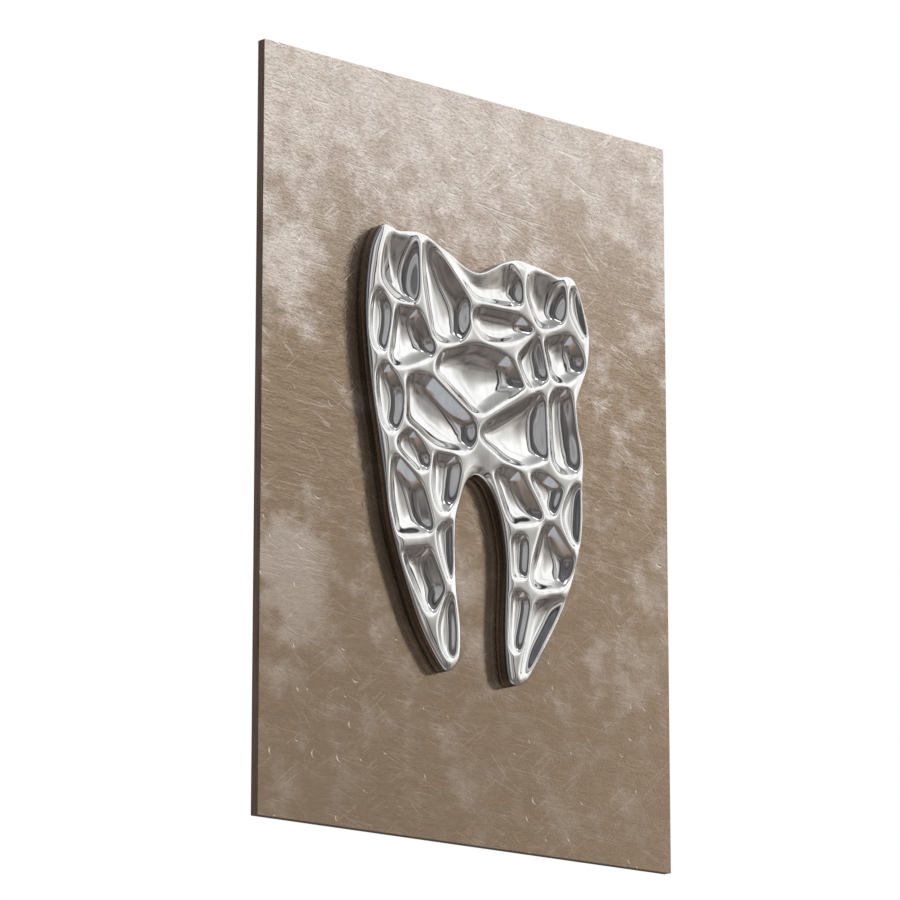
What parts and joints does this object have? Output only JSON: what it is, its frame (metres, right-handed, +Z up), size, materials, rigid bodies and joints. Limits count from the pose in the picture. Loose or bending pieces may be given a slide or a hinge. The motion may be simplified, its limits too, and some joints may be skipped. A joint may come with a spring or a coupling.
{
  "type": "wall relief sculpture",
  "caption": "Polished relief of a molar with dished cells and flowing ribs on a dark side wall, set on an upright metal-faced panel that hangs on a 45 degree rail.",
  "frame": {"origin": "centre of the wall cleat's rear face, the face that is screwed to the wall", "axes": "+Y into the wall, -Y is the side that is looked at, +Z up, +X to the right of someone facing the sculpture"},
  "size_m": [0.5, 0.0447, 0.7],
  "materials": {
    "polished_metal": "mirror polished",
    "dark_bronze": "dark bronze, satin",
    "bronze_sheet": "mottled bronze, satin",
    "fibreboard": "raw fibreboard",
    "dark_edge": "dark brown edge strip",
    "pine": "planed pine",
    "zinc_steel": "zinc plated",
    "brass": "plain brass",
    "black_rubber": "matt"
  },
  "bodies": {
    "root": {"tooth_relief": "polished_metal", "tooth_skirt": "dark_bronze", "laminate_face": "bronze_sheet", "core_board": "fibreboard", "edge_band_left": "dark_edge", "edge_band_right": "dark_edge", "edge_band_top": "dark_edge", "edge_band_bottom": "dark_edge", "relief_insert_1": "brass", "relief_insert_2": "brass", "relief_insert_3": "brass", "relief_insert_4": "brass", "relief_insert_5": "brass", "relief_screw_1": "zinc_steel", "relief_screw_2": "zinc_steel", "relief_screw_3": "zinc_steel", "relief_screw_4": "zinc_steel", "relief_screw_5": "zinc_steel", "relief_washer_1": "zinc_steel", "relief_washer_2": "zinc_steel", "relief_washer_3": "zinc_steel", "relief_washer_4": "zinc_steel", "relief_washer_5": "zinc_steel", "hanging_cleat": "pine", "stile_left": "pine", "stile_right": "pine", "bottom_rail": "pine", "frame_screw_1": "zinc_steel", "frame_screw_2": "zinc_steel", "frame_screw_3": "zinc_steel", "frame_screw_4": "zinc_steel", "frame_screw_5": "zinc_steel", "frame_screw_6": "zinc_steel", "frame_screw_7": "zinc_steel", "frame_screw_8": "zinc_steel", "wall_cleat": "pine", "wall_bumper_1": "black_rubber", "wall_bumper_2": "black_rubber", "wall_bumper_3": "black_rubber", "wall_bumper_4": "black_rubber"}
  },
  "joints": []
}
